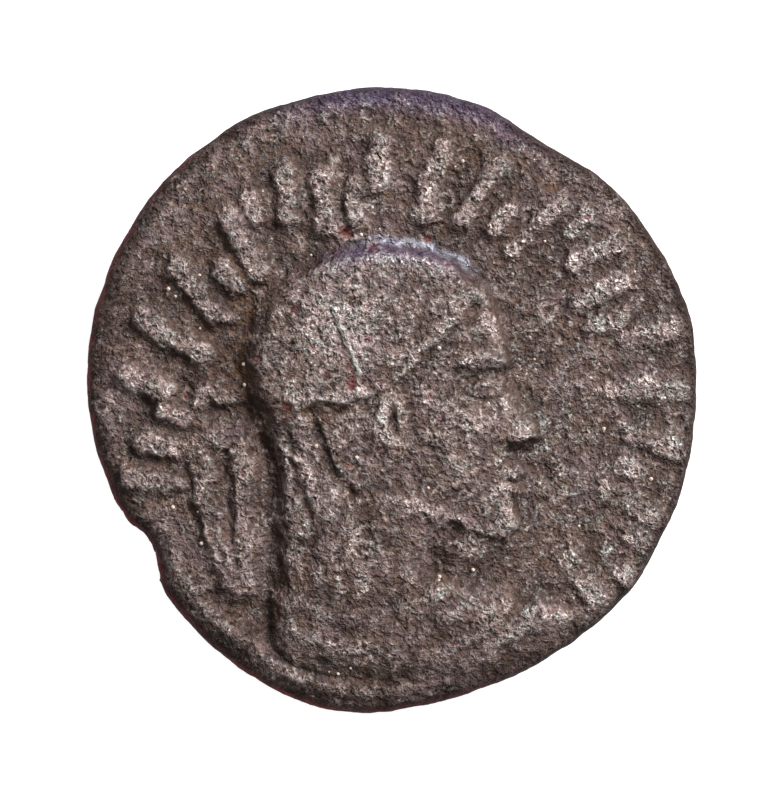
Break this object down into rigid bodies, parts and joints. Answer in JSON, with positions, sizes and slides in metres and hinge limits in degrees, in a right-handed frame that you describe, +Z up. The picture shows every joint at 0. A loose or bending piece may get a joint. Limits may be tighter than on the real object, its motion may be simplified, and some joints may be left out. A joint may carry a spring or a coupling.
{
  "type": "tetradrachm coin",
  "caption": "Worn hand-struck bronze coin: draped, diademed head in relief inside a ring of stroke marks, on a thick irregular flan with a chipped edge.",
  "frame": {"origin": "middle of the coin's outline, on the plane that its worn reverse rests on", "axes": "+X to the side that the portrait faces, +Y to the top of the portrait, +Z up out of the obverse"},
  "size_m": [0.0222, 0.0228, 0.0039],
  "materials": {
    "patinated_bronze": "dark brown granular patina on bronze, greyer on worn high points, with orange-brown earth in the hollows"
  },
  "bodies": {
    "root": {"coin": "patinated_bronze"}
  },
  "joints": []
}
